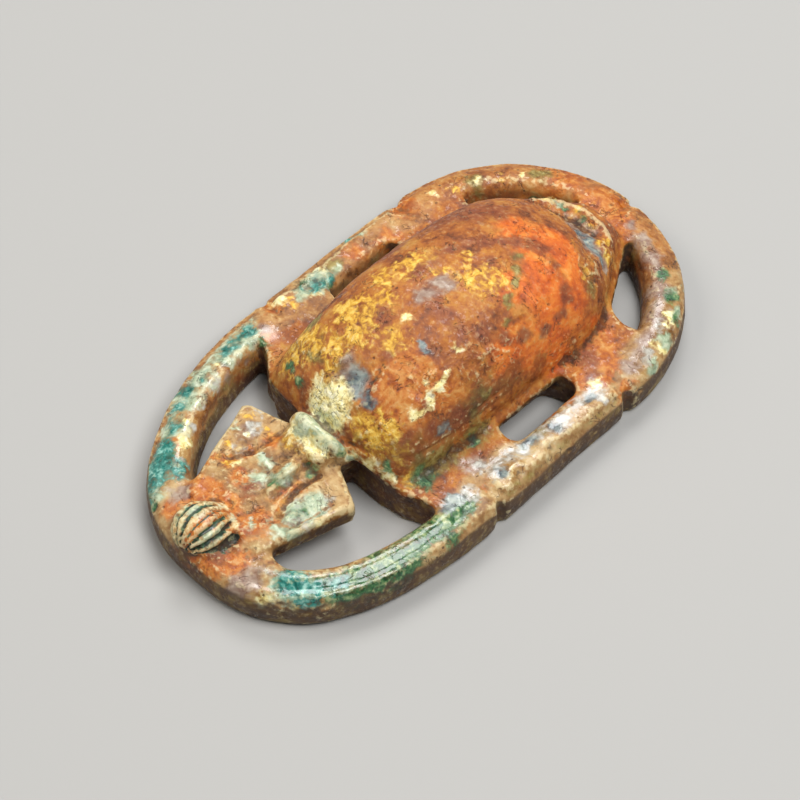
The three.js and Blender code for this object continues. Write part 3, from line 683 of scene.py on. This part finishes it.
        (10.6, 25.6, 4.0, 0.8), (-15.0, 0.8, 4.4, 1.4), (-14.6, -1.6, 4.6, 1.1),
        (-14.6, 3.0, 4.6, 0.8), (-16.2, 7.4, 4.2, 0.8), (1.4, -29.2, 6.4, 1.2),
        (2.0, -27.6, 6.2, 1.0), (-1.8, -28.4, 6.6, 1.0), (-1.0, -15.0, 6.9, 0.8),
        (-3.4, 22.8, 7.9, 0.6), (-6.8, -28.2, 4.2, 1.0),
    ],
    "green": [
        (15.3, -17.3, 4.4, 1.6), (15.5, -20.0, 3.4, 1.8), (14.8, -14.1, 4.6, 1.6),
        (15.7, -16.9, 4.2, 1.8), (16.0, -19.1, 3.1, 1.5), (15.0, -11.4, 4.6, 1.3),
        (16.6, -11.3, 3.8, 1.0), (14.4, -22.9, 3.4, 1.6), (14.0, -20.9, 4.3, 1.6),
        (13.4, -23.6, 4.0, 1.3), (13.9, -18.0, 4.6, 1.2), (13.8, -13.0, 4.7, 1.0),
        (8.9, 25.9, 4.4, 0.8), (11.0, 24.7, 4.2, 0.9), (13.4, 22.9, 3.8, 0.8),
        (10.0, -8.6, 4.6, 1.3), (10.0, -2.2, 4.6, 0.8), (7.4, -11.0, 6.2, 0.8),
        (-7.7, 24.6, 2.7, 0.8), (-2.6, 22.9, 7.8, 0.6), (-0.3, 23.4, 7.5, 0.6),
        (-9.0, -24.5, 4.6, 0.8), (-4.8, -11.1, 8.4, 0.9), (-12.9, -8.7, 4.2, 0.7),
        (-2.2, -29.6, 5.8, 0.7), (2.2, -29.0, 5.8, 0.7), (1.0, -26.8, 6.9, 0.6),
        (8.6, -7.4, 6.4, 0.8), (3.2, -13.2, 7.2, 0.9), (-6.6, -10.4, 8.0, 0.9),
        (-15.6, -0.6, 4.4, 0.8), (-14.0, 1.4, 4.6, 0.9), (2.3, -16.4, 5.6, 0.7),
        (5.2, -20.2, 5.2, 0.7), (0.9, -20.2, 5.6, 0.7), (-5.8, 23.2, 7.2, 0.6),
        (-6.6, -29.2, 3.6, 0.7),
    ],
    # Painted shade: dark spots under the dome's front edge and round the ball's foot.
    "painted_shade": [
        (7.6, -9.7, 7.8, 1.6), (9.1, -5.0, 7.7, 1.4), (8.8, -8.0, 7.4, 1.4),
        (5.0, -11.3, 6.9, 0.8), (6.6, -10.7, 6.9, 0.8), (9.2, 4.4, 8.4, 1.6),
        (9.2, 2.4, 8.6, 1.4), (9.3, 7.8, 7.4, 1.3), (9.2, -0.3, 8.7, 1.6), (9.2, -1.7, 8.4, 1.6),
        (4.1, -11.5, 7.9, 0.7), (-1.6, -8.7, 11.8, 0.7), (2.9, -29.4, 4.4, 0.8),
        (1.6, -31.0, 3.6, 0.7), (3.2, -27.4, 4.6, 0.7), (2.4, -28.2, 4.7, 0.7),
        (-3.0, -29.0, 4.2, 0.7), (6.2, -11.0, 6.6, 0.8), (8.4, -9.2, 6.4, 0.8),
    ],
    "teal": [
        (-14.7, -11.6, 4.6, 0.9), (-15.1, -8.8, 4.6, 0.9), (-15.0, -10.2, 4.6, 0.9),
        (-14.3, -17.9, 4.2, 1.1), (-13.4, -19.9, 4.3, 0.9), (-11.8, -21.9, 4.5, 1.0),
        (-7.9, -27.9, 3.9, 1.4), (-9.3, -25.9, 4.3, 1.8), (-7.3, -24.8, 4.6, 1.2),
        (-10.5, -24.1, 4.4, 1.1), (-14.1, 0.1, 4.6, 1.0), (-14.3, 1.8, 4.6, 0.8),
        (-16.5, 6.8, 4.2, 0.8), (-15.4, -1.2, 4.6, 0.7), (9.8, -26.2, 4.6, 1.7),
        (12.0, -25.4, 4.3, 1.8), (10.8, -26.3, 4.4, 1.6), (13.2, -22.6, 4.4, 0.9),
        (-13.6, -15.8, 4.4, 0.5), (2.6, -12.9, 7.4, 0.6),
    ],
}

BANDS = {
    "rust": ball_rust,
    "cream_and_glints": on_ball * 0.45,
    "green": near_front_leg * soft_step(x, 8, 11) * bell(from_rim, 1.8, 1.1),
    # Painted reflection along the inner part of the near front leg.
    "dark_reflection": near_front_leg * 0.45 * bell(from_rim, 2.8, 0.6),
    "teal": far_front_leg * 0.25 * bell(from_rim, 1.5, 0.8),
    # Painted sheen along the far front leg's inner crest and the near middle leg's level top.
    "silver_sheen": np.maximum(far_front_leg * 0.4 * bell(from_rim, 2.7, 0.5),
                      near_middle_leg * 0.8 * bell(from_rim, 2.6, 1.2)),
    "olive": near_middle_leg * 0.6 * bell(from_rim, 0.3, 0.5),
    "mint": np.maximum(far_front_leg * 0.75 * bell(from_rim, 1.2, 1.2), on_ball * 0.42),
    "lilac": near_rear_leg * 0.8 * bell(from_rim, 2.5, 0.7),
}

CLEARINGS = {"cream_and_glints": 0.9 * ball_rust, "mint": 0.9 * ball_rust}

BEND_LUMPS = 1.6
BEND_REACH = 0.7

straight_points = points
bend = np.stack([ragged(BEND_LUMPS, 3, seed) for seed in (11, 12, 13)], axis=1)
points = points + bend * BEND_REACH
for name, places in PATINA.items():
    band = BANDS.get(name, 0)
    strength = np.maximum(spots(places, 0.1, 1.8), band)
    store(name, strength * (1 - CLEARINGS.get(name, 0)))
points = straight_points
print(len(PATINA), "colours in", sum(len(places) for places in PATINA.values()), "spots")

# %% [markdown]
# ## The glazed stone
#
# The finish is built in layers, as the real one grew: rusty stone first, then the coloured
# remains of glaze, then dirt in the hollows and pale wear on the edges. Every layer has its own
# mask. Small helpers keep the node tree short to write, since each layer repeats one pattern:
# a mask, a row of colours and a mix.

# %% Start the material and its helpers
stone = bpy.data.materials.new("glazed_stone")
stone.use_nodes = True
tree = stone.node_tree
finish = tree.nodes["Principled BSDF"]


def new_node(kind, inputs=None, **settings):
    """Adds a shader node. Inputs may be plain values or the outputs of other nodes."""
    made = tree.nodes.new(kind)
    for name, value in settings.items():
        setattr(made, name, value)
    for name, value in (inputs or {}).items():
        if isinstance(value, bpy.types.NodeSocket):
            tree.links.new(value, made.inputs[name])
        else:
            made.inputs[name].default_value = value
    return made


def paint(code):
    """A colour for a shader from the usual six-digit code."""
    shades = [int(code[start:start + 2], 16) / 255 for start in (0, 2, 4)]
    return (*[((s + 0.055) / 1.055) ** 2.4 if s > 0.04 else s / 12.92 for s in shades], 1)


place = new_node("ShaderNodeTexCoord").outputs["Object"]
in_mm = new_node("ShaderNodeVectorMath", {0: place, 1: (1000, 1000, 1000)},
                 operation="MULTIPLY").outputs["Vector"]
print("material started with", len(tree.nodes), "nodes")


# %% Helpers for noise, masks and layers
def cloud(size, detail=5, roughness=0.55, bend=0.0, seed=0, low=0.3, high=0.7):
    """Noise with lumps of that size in millimetres, spread out to fill 0 to 1."""
    shift = new_node("ShaderNodeVectorMath", {0: in_mm, 1: (seed * 7.1, seed * 3.3, seed * 5.7)},
                     operation="ADD").outputs["Vector"]
    noise_value = new_node("ShaderNodeTexNoise", {
        "Vector": shift, "Scale": 1 / size, "Detail": detail, "Roughness": roughness,
        "Distortion": bend}).outputs["Fac"]
    return stretch(noise_value, low, high, curve="LINEAR")


def sums(operation, first, second=0.0, third=0.0, clamp=False):
    """One step of arithmetic on masks."""
    return new_node("ShaderNodeMath", {0: first, 1: second, 2: third},
                    operation=operation, use_clamp=clamp).outputs[0]


def stretch(value, low, high, to_low=0.0, to_high=1.0, curve="SMOOTHSTEP"):
    """Spreads the range low to high over to_low to to_high, and stops at its ends."""
    return new_node("ShaderNodeMapRange", {
        "Value": value, "From Min": low, "From Max": high, "To Min": to_low,
        "To Max": to_high}, interpolation_type=curve).outputs["Result"]


def stored(name):
    """A value that was stored on the points."""
    return new_node("ShaderNodeAttribute", attribute_name=name).outputs["Fac"]


def blend_colours(share, below, above, mode="MIX"):
    """Lays one colour over another by a share from 0 to 1."""
    mixer = new_node("ShaderNodeMix", data_type="RGBA", blend_type=mode)
    for socket, value in ((0, share), (6, below), (7, above)):
        if isinstance(value, bpy.types.NodeSocket):
            tree.links.new(value, mixer.inputs[socket])
        else:
            mixer.inputs[socket].default_value = value
    return mixer.outputs[2]


def shades(value, *stops):
    """Turns a value into colours, given as pairs of a place and a colour code."""
    made = new_node("ShaderNodeValToRGB", {"Fac": value})
    band = made.color_ramp
    while len(band.elements) < len(stops):
        band.elements.new(0.5)
    for element, (spot, code) in zip(band.elements, stops):
        element.position = spot
        element.color = paint(code)
    return made.outputs["Color"]


def heaped(mask, fringe, fray):
    """A mask with noise added, so that it has ragged edges and thin places."""
    return sums("ADD", mask, sums("MULTIPLY_ADD", fringe, fray, -fray / 2))


print("helpers ready")

# %% [markdown]
# ### The fine surface
#
# Close up, the surface is finely wrinkled, pitted and cracked, finer than the skin's net can
# show. One height is made for all of that, before any colour. The bump at the end uses it, and
# so do the colours: its lows get painted shade and its highs a painted highlight.

# %% Make the fine height
WRINKLE_HEIGHT = 0.085 * MM
SWELL_HEIGHT = 0.02 * MM
CRACK_DEPTH = 0.06 * MM
TINY_PIT_DEPTH = 0.06 * MM

slow = cloud(3.2, 5, 0.52, 0.6)
medium = cloud(1.2, 4, 0.52, 0.5, 2)
small = cloud(0.5, 3, 0.5, 0.3, 5)
grain = cloud(0.2, 2, 0.5, 0.0, 9)
swell = cloud(1.0, 1, 0.5, 0.4, 15)

crack_field = cloud(1.9, 4, 0.5, 1.6, 31, 0.0, 1.0)
crack_distance = sums("ABSOLUTE", sums("SUBTRACT", crack_field, 0.5))
crack_here = stretch(cloud(2.6, 2, 0.5, 0.0, 33), 0.55, 0.8)
cracks = sums("MULTIPLY", stretch(crack_distance, 0.014, 0.003), crack_here)

pit_cells = new_node("ShaderNodeTexVoronoi", {"Vector": in_mm, "Scale": 1 / 0.9})
pit_chosen = sums("GREATER_THAN", pit_cells.outputs["Color"], 0.72)
tiny_pits = sums("MULTIPLY", stretch(pit_cells.outputs["Distance"], 0.20, 0.08), pit_chosen)

coarseness = sums("MULTIPLY_ADD", stored("rough"), 0.6, 0.4)
coarseness = sums("MULTIPLY_ADD", stored("polish"), -0.33, coarseness, clamp=True)
wrinkles = sums("MULTIPLY_ADD", small, 0.75, sums("MULTIPLY", grain, 0.25))
fine_height = sums("MULTIPLY", sums("MULTIPLY", wrinkles, coarseness), WRINKLE_HEIGHT)
fine_height = sums("MULTIPLY_ADD", swell, SWELL_HEIGHT, fine_height)
fine_height = sums("MULTIPLY_ADD", cracks, -CRACK_DEPTH, fine_height)
fine_height = sums("MULTIPLY_ADD", tiny_pits, -TINY_PIT_DEPTH, fine_height)
# Painted shade in the lows of the fine surface and a painted highlight on its highs.
shade_in_lows = sums("MULTIPLY", stretch(wrinkles, 0.30, 0.12), coarseness)
highlight_on_highs = sums("MULTIPLY", stretch(wrinkles, 0.62, 0.85), coarseness)
print("fine height uses", len(tree.nodes), "nodes")

# %% [markdown]
# ### The stone under the glaze
#
# Under everything lies rusty stone: brown in the lows of a slow noise and ochre in its highs,
# with finer noises laid over it so that no patch is flat. The legs and the head are paler, a
# mixture of tan, cream and a dusky pink.

# %% Colour the bare stone
mottle = sums("MULTIPLY_ADD", slow, 0.5, sums("MULTIPLY_ADD", medium, 0.32,
                                               sums("MULTIPLY", small, 0.18)))
bare = shades(mottle, (0.14, "62300F"), (0.34, "8E4A16"), (0.50, "A9611E"), (0.66, "B8762A"),
              (0.86, "C69042"))
pale = shades(mottle, (0.14, "74502A"), (0.34, "96703E"), (0.50, "AE8C58"), (0.66, "BEA270"),
              (0.86, "D2C298"))
surface = blend_colours(stored("pale"), bare, pale)
print("bare stone uses", len(tree.nodes), "nodes")

# %% [markdown]
# ### The coloured patches
#
# Each patch is a mask heaped up with noise. Where the heap is low, at the patch's edge and in its
# thin places, it takes its first and darkest colours or lets the stone through, and where it is
# high it takes the last ones. Most colours also have a thin scatter of flecks all over the stone.
# The order matters: the broad warm stains come first, and the thin films, crusts and greens that
# sit on top come later. Some layers stand for light: one is a painted silver sheen, one a painted
# dark blue-grey reflection, the plum layer also paints shade on the dome's far side, and the
# cream layer also paints glints on the dome.

# %% Lay the coloured patches
LAYERS = {
    "ember": (2.6, 0.45, -0.05, ("A0400C", "C85A10", "DA701A", "E2903A")),
    "rust": (1.5, 0.65, 0.10, ("7C3A0C", "A25012", "BE6E20", "D0924A")),
    "olive": (1.3, 0.60, -0.10, ("4A3A10", "6A561E", "8A7636", "AA9A5C")),
    "gold": (0.9, 1.05, -0.20, ("7E4C0C", "B47C1C", "DCA834", "F2CF66")),
    # Plum glaze, and painted shade on the dome's far side.
    "plum_and_shade": (1.4, 0.40, -0.18, ("64280F", "7C3A18", "924E24", "A66A40")),
    "lilac": (1.3, 0.45, -0.12, ("644634", "846453", "9C8270", "B6A290")),
    # Painted sheen in pale silvery grey.
    "silver_sheen": (1.0, 0.70, -0.20, ("6A6456", "908C80", "B4B0A4", "D8D6CC")),
    # Painted reflection in dark blue-grey.
    "dark_reflection": (1.2, 0.50, -0.05, ("38424A", "566268", "7C8886", "A8B0A6")),
    # Cream crust, and painted glints where its spots sit on the dome.
    "cream_and_glints": (0.7, 0.65, -0.07, ("C0A650", "EEDA8C", "FCF2B4", "FFFCE0")),
    "mint": (1.1, 0.75, -0.10, ("64785A", "8EA284", "B2C0A0", "D8DEC4")),
    "green": (0.9, 0.75, -0.05, ("08220F", "184628", "426E42", "9CAE78")),
    "teal": (0.9, 0.75, -0.05, ("04302A", "0E584E", "388478", "98CABA")),
}
THIN, THICK = 0.15, 0.85

glassy = 0.0
for seed, (name, (lumps, fray, scatter, colours)) in enumerate(LAYERS.items()):
    own_noise = cloud(lumps, 4, 0.55, 0.8, 20 + seed)
    mixed = sums("MULTIPLY_ADD", own_noise, 0.75, sums("MULTIPLY", small, 0.25))
    heap = heaped(sums("ADD", stored(name), scatter), mixed, fray)
    share = stretch(heap, THIN, THICK)
    depth = sums("MULTIPLY", heap, 0.15)
    for part, weight in ((small, 0.15), (medium, 0.25), (own_noise, 0.45)):
        depth = sums("MULTIPLY_ADD", part, weight, depth)
    tint = shades(depth, *zip((0.15, 0.40, 0.60, 0.85), colours))
    surface = blend_colours(share, surface, tint)
    if name in ("lilac", "silver_sheen", "dark_reflection", "mint", "green", "teal"):
        glassy = sums("MAXIMUM", share, glassy)
print(len(LAYERS), "layers of colour laid")

# %% [markdown]
# ### Painted shade, stains, dirt and wear
#
# The ring's low steep walls get painted shade in brown and olive, rust shows in the carved seams,
# and dark green glaze lies in the ball's grooves. Then the hollows are darkened, dirt fills the
# cracks and pits, painted shade lies in the lows of the fine surface and in listed spots, and
# the edges are rubbed pale, with a painted highlight on the highs.

# %% Shade the sides and stain the seams and grooves
# Painted shade: the low steep walls are darkened to brown and olive.
painted_side_shade = sums("MULTIPLY", stretch(heaped(stored("painted_side_shade"), mottle, 0.9), 0.2, 0.9), 0.9)
side_shade_colour = shades(mottle, (0.2, "241308"), (0.5, "4C3014"), (0.8, "7E6832"))
surface = blend_colours(painted_side_shade, surface, side_shade_colour)
seam_rust = sums("MULTIPLY", stretch(heaped(stored("seams"), small, 0.7), 0.2, 0.8), 0.65)
seam_colour = shades(medium, (0.2, "6E3A10"), (0.5, "A86420"), (0.8, "D29A48"))
surface = blend_colours(seam_rust, surface, seam_colour)
groove_share = stretch(heaped(stored("grooves"), small, 0.5), 0.3, 0.75)
groove_glaze = shades(small, (0.2, "06200F"), (0.5, "163E28"), (0.8, "3E6E4C"))
surface = blend_colours(groove_share, surface, groove_glaze)
print("stained with", len(tree.nodes), "nodes")

# %% [markdown]
# The pale crust by the neck has cracked like a flower, with dark lines running out from a dark
# heart. A wave of the angle round its middle gives the lines, and the distance from the middle
# says where they start and stop.

# %% Draw the flower-shaped crust
FLOWER_MIDDLE = (-0.4, -11.3, 8.9)
FLOWER_UP = (0.0, 0.62, 0.78)
PETALS = 7
FLOWER_INK = "5A4A1C"

from_flower = new_node("ShaderNodeVectorMath", {0: in_mm, 1: FLOWER_MIDDLE}, operation="SUBTRACT")
across, up = [new_node("ShaderNodeVectorMath", {0: from_flower.outputs["Vector"], 1: way},
                       operation="DOT_PRODUCT").outputs["Value"]
              for way in ((1.0, 0.0, 0.0), FLOWER_UP)]
flower_reach = new_node("ShaderNodeVectorMath", {0: from_flower.outputs["Vector"]},
                        operation="LENGTH").outputs["Value"]
flower_turn = sums("MULTIPLY_ADD", medium, 0.5, sums("ARCTAN2", up, across))
petal_wave = sums("ABSOLUTE", sums("SINE", sums("MULTIPLY", flower_turn, PETALS)))
petal_reach = sums("MULTIPLY", stretch(flower_reach, 0.35, 0.7), stretch(flower_reach, 2.4, 1.7))
petal_lines = sums("MULTIPLY", stretch(petal_wave, 0.34, 0.08), petal_reach)
flower_heart = stretch(sums("MULTIPLY_ADD", small, 0.3, flower_reach), 0.55, 0.35)
flower_marks = sums("MAXIMUM", petal_lines, flower_heart)
surface = blend_colours(sums("MULTIPLY", flower_marks, 0.65), surface, paint(FLOWER_INK))
print("flower drawn with", PETALS * 2, "petals")

# %% [markdown]
# The darkening, dirt, painted shade, wear and painted highlight come last, since they lie over
# every colour. The glaze is harder than the stone, so it is rubbed less and takes less of the
# painted highlight.

# %% Add the darkening, dirt, painted shade, wear and painted highlight
# Pale for the edge wear and for the painted highlight on the highs.
WEAR_AND_HIGHLIGHT_COLOUR = "E8D8A4"

# One dark brown for the darkened hollows, the dirt and the painted shade.
dirt_and_shade_colour = shades(medium, (0.2, "1C0D05"), (0.8, "542A10"))
# Darker in the hollows, near and wide.
darkened_hollows = stretch(heaped(stored("hollow"), small, 0.6), 0.25, 0.95)
# Painted shade in the listed spots under the dome's edge and round the ball.
painted_shade_spots = stretch(heaped(stored("painted_shade"), medium, 0.7), 0.3, 0.9)
# Dirt in cracks and tiny pits, and painted shade in the lows of the fine surface.
fine_dirt_and_shade = sums("MAXIMUM", sums("MULTIPLY", cracks, 0.8), sums("MULTIPLY", tiny_pits, 0.8))
fine_dirt_and_shade = sums("MAXIMUM", fine_dirt_and_shade, sums("MULTIPLY", shade_in_lows, 0.6))
dirt_and_shade = sums("MAXIMUM", darkened_hollows, sums("MULTIPLY", painted_shade_spots, 0.6))
dirt_and_shade = sums("MAXIMUM", dirt_and_shade, fine_dirt_and_shade)
surface = blend_colours(sums("MULTIPLY", dirt_and_shade, 0.8), surface, dirt_and_shade_colour)

wear = stretch(heaped(stored("edge"), small, 0.9), 0.4, 0.95)
# Pale wear on the edges, and a painted highlight on the highs of the fine surface.
wear_and_highlight = sums("MAXIMUM", sums("MULTIPLY", wear, 0.5), sums("MULTIPLY", highlight_on_highs, 0.25))
wear_and_highlight = sums("MULTIPLY", wear_and_highlight, sums("MULTIPLY_ADD", glassy, -0.45, 1.0))
surface = blend_colours(wear_and_highlight, surface, paint(WEAR_AND_HIGHLIGHT_COLOUR))
tree.links.new(surface, finish.inputs["Base Color"])
print("colour tree has", len(tree.nodes), "nodes")

# %% [markdown]
# ### Shine
#
# What is left of the glaze is glassy, and bare stone and the darkened hollows are dull, so the
# roughness follows the same masks as the colours. It starts from dull stone, and each mask takes
# some away or adds some. Small glassy spots are left everywhere, which catch the light as glints.

# %% Set the shine and the bump
DULL_STONE = (0.60, 0.80)
SHINIEST = 0.12
GLAZE_IOR = 1.60

roughness = stretch(medium, 0.0, 1.0, *DULL_STONE)
roughness = sums("MULTIPLY_ADD", stored("legs"), -0.06, roughness)
roughness = sums("MULTIPLY_ADD", stored("polish"), -0.41, roughness)
roughness = sums("MULTIPLY_ADD", glassy, -0.08, roughness)
roughness = sums("MULTIPLY_ADD", darkened_hollows, 0.25, roughness)
glints = stretch(cloud(0.6, 3, 0.6, 0.0, 41), 0.66, 0.78)
roughness = sums("MULTIPLY_ADD", glints, -0.32, roughness)
roughness = sums("MAXIMUM", roughness, SHINIEST, clamp=True)
tree.links.new(roughness, finish.inputs["Roughness"])
finish.inputs["IOR"].default_value = GLAZE_IOR

bump = new_node("ShaderNodeBump", {"Height": fine_height, "Strength": 1.0, "Distance": 1.0})
tree.links.new(bump.outputs["Normal"], finish.inputs["Normal"])
print("material has", len(tree.nodes), "nodes")

# %% [markdown]
# ## The finished piece
#
# The skin becomes an object, takes the material, and stands for the solid. It rides on the
# amulet's one body, so that it would move with it.

# %% Make the piece
skin.materials.clear()
skin.materials.append(stone)
skin.polygons.foreach_set("use_smooth", np.ones(len(skin.polygons), dtype=bool))
carving = bpy.data.objects.new("scarab_carving", skin)
scene.collection.objects.link(carving)
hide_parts("scarab_amulet")
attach(carving, "root")
triangles = sum(len(face.vertices) - 2 for face in skin.polygons)
print("the carving has", triangles, "triangles")
